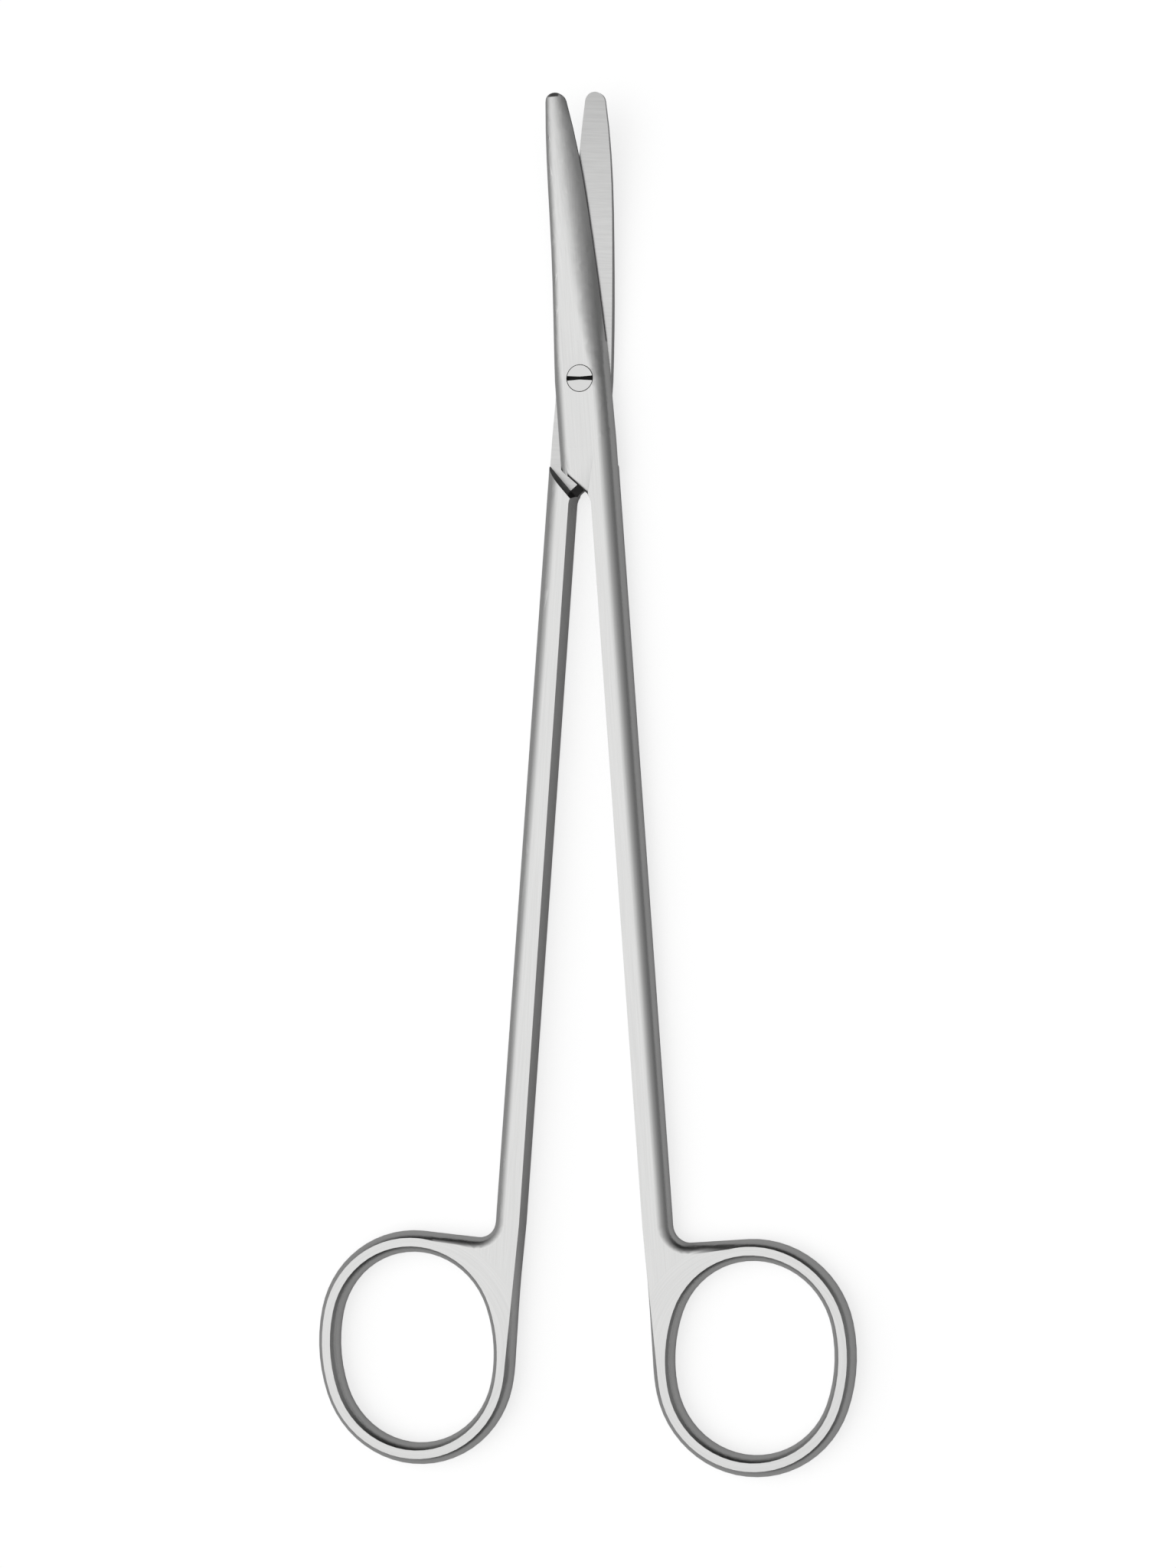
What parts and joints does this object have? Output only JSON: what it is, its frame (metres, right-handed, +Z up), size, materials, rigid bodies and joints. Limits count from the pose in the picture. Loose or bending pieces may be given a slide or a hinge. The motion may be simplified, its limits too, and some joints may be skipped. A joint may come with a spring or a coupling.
{
  "type": "dissecting scissors",
  "caption": "Slender curved dissecting scissors with blunt tips, a slotted screw at the lap joint, long half-round shanks and oval finger rings.",
  "frame": {"origin": "on the pivot screw's axis, in the plane the scissors rest on", "axes": "+Y towards the blade tips, +Z up through the screw's slotted head, +X towards the ring of the half under that head"},
  "size_m": [0.0724, 0.1784, 0.0073],
  "materials": {
    "satin_steel": "satin stainless steel with fine lengthwise brushing and fine cross grinding on the inner blade faces",
    "screw_steel": "satin stainless steel, ground flush with the joint"
  },
  "bodies": {
    "lower_half": {"threaded_half": "satin_steel", "pivot_screw": "screw_steel"},
    "upper_half": {"screw_side_half": "satin_steel"}
  },
  "joints": [
    {"name": "pivot", "type": "hinge", "parent": "lower_half", "child": "upper_half", "pos_m": [0, 0, 0.00215], "axis": [0, 0, 1], "range_deg": [-8.3, 81.7]}
  ]
}
